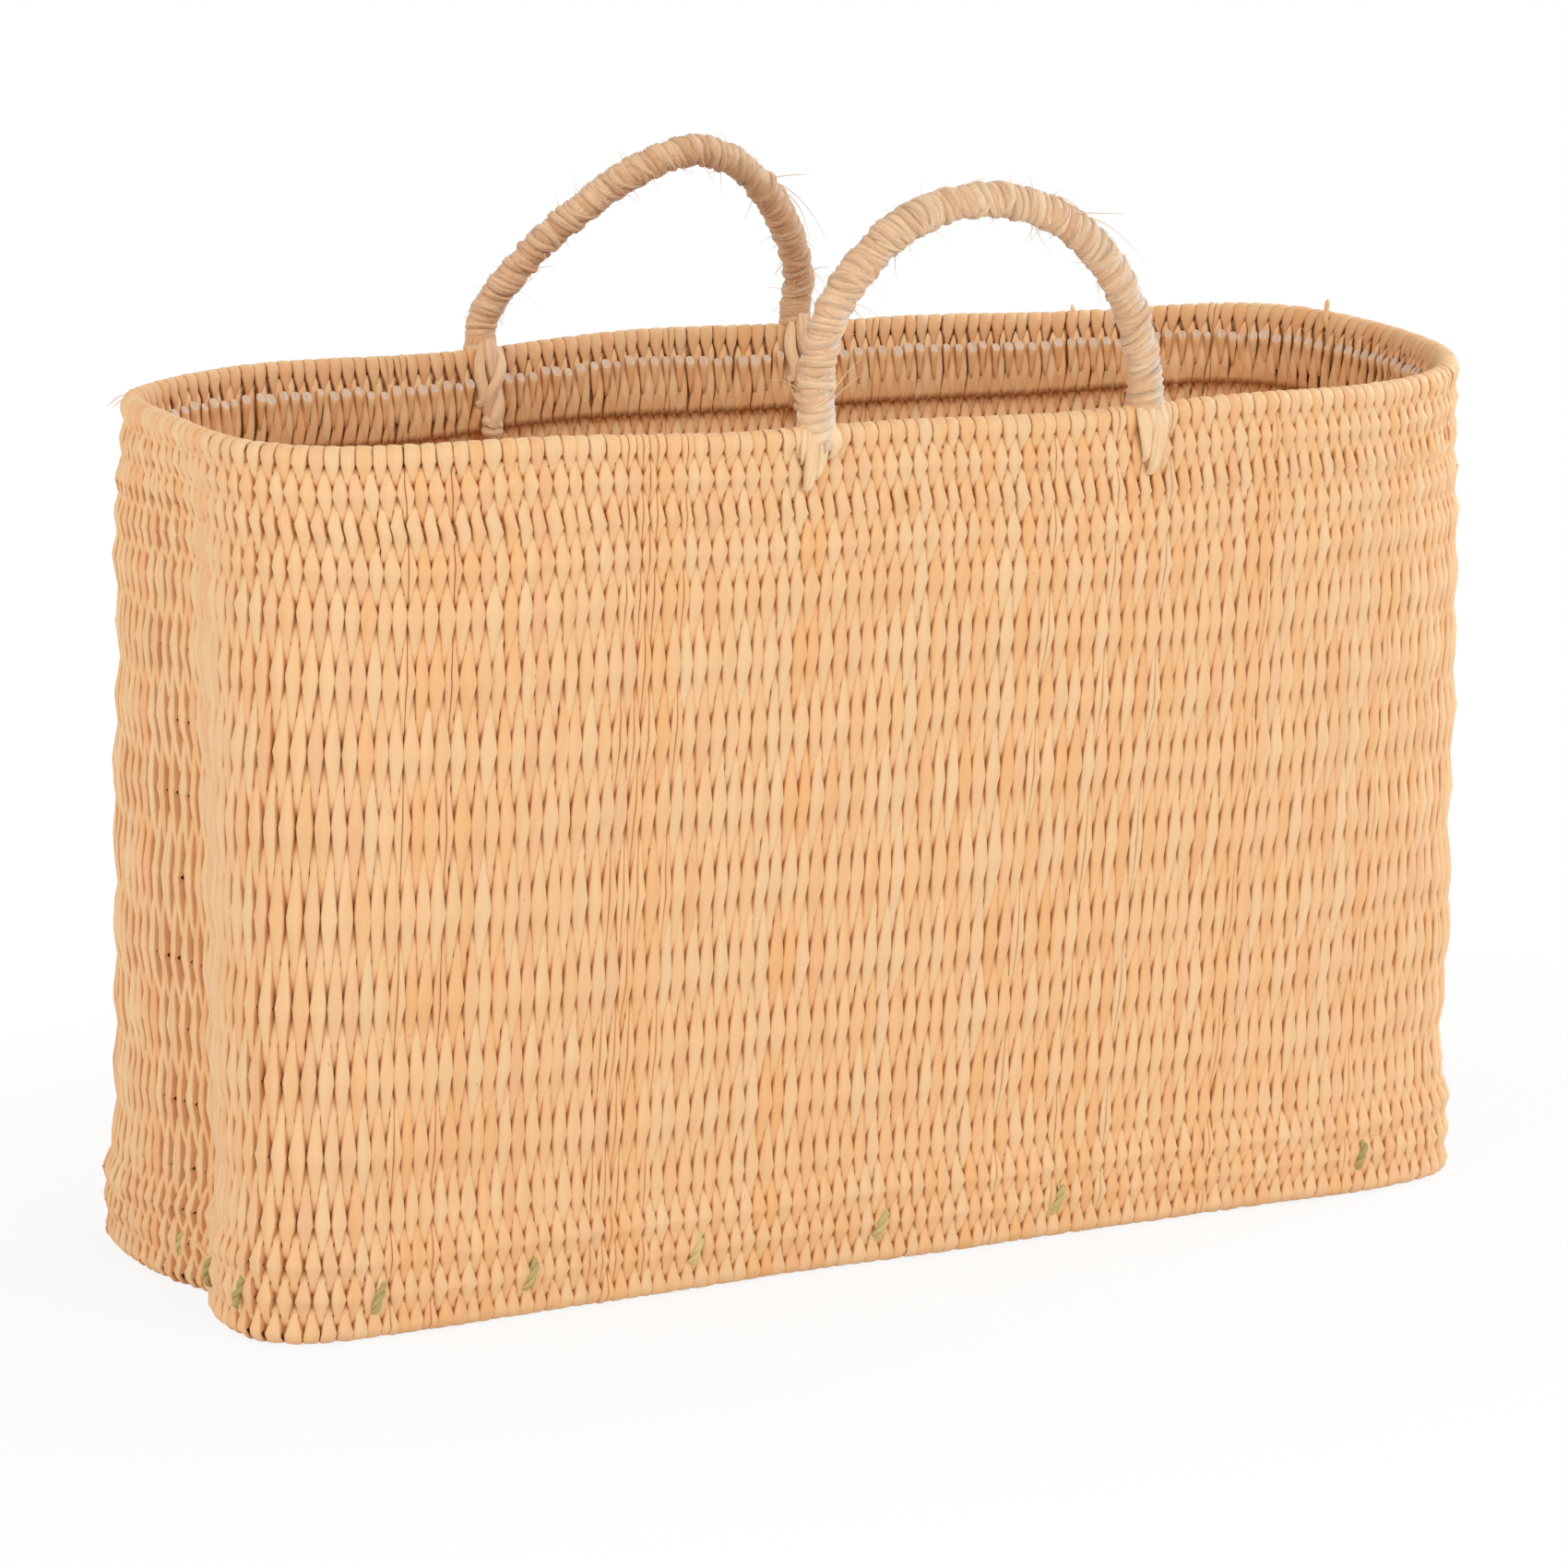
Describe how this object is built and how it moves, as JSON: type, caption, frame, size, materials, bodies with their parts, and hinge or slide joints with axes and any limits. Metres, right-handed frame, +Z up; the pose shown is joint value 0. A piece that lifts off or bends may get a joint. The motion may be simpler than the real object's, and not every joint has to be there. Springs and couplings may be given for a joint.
{
  "type": "magazine basket",
  "caption": "Long oval hand-woven reed basket for magazines, open at the top, with two wrapped rope handles that swing at the rim.",
  "frame": {"origin": "on the floor under the middle of the whole basket's box, with the handles as pictured", "axes": "+X along the long side, +Y from the front wall to the back wall, +Z up"},
  "size_m": [0.4676, 0.2034, 0.3597],
  "materials": {
    "reed_strip": "satin",
    "reed_rod": "matte",
    "palm_cord": "matte",
    "rope_core": "matte",
    "fibre_wrap": "matte"
  },
  "bodies": {
    "basket": {"hoop_01_rim": "reed_rod", "hoop_02": "reed_rod", "hoop_03": "reed_rod", "hoop_04": "reed_rod", "hoop_05": "reed_rod", "hoop_06": "reed_rod", "hoop_07": "reed_rod", "hoop_08": "reed_rod", "hoop_09": "reed_rod", "hoop_10": "reed_rod", "hoop_11": "reed_rod", "hoop_12": "reed_rod", "hoop_13": "reed_rod", "hoop_14": "reed_rod", "hoop_15": "reed_rod", "hoop_16_foot": "reed_rod", "front_strips": "reed_strip", "right_end_strips": "reed_strip", "back_strips": "reed_strip", "left_end_strips": "reed_strip", "base_strips": "reed_strip", "base_rod_1": "reed_rod", "base_rod_2": "reed_rod", "base_rod_3": "reed_rod", "base_rod_4": "reed_rod", "base_rod_5": "reed_rod", "base_lashing": "palm_cord", "front_left_foot_loop": "fibre_wrap", "front_right_foot_loop": "fibre_wrap", "back_left_foot_loop": "fibre_wrap", "back_right_foot_loop": "fibre_wrap"},
    "front_handle": {"front_handle_core": "rope_core", "front_handle_wrap": "fibre_wrap"},
    "back_handle": {"back_handle_core": "rope_core", "back_handle_wrap": "fibre_wrap"}
  },
  "joints": [
    {"name": "front_handle_swing", "type": "hinge", "parent": "basket", "child": "front_handle", "pos_m": [0.00921, -0.08879, 0.2923], "axis": [0.9991, -0.0434, 0], "range_deg": [-75, 80]},
    {"name": "back_handle_swing", "type": "hinge", "parent": "basket", "child": "back_handle", "pos_m": [-0.01879, 0.09264, 0.2923], "axis": [0.9997, 0.0243, 0], "range_deg": [-105, 48]}
  ]
}
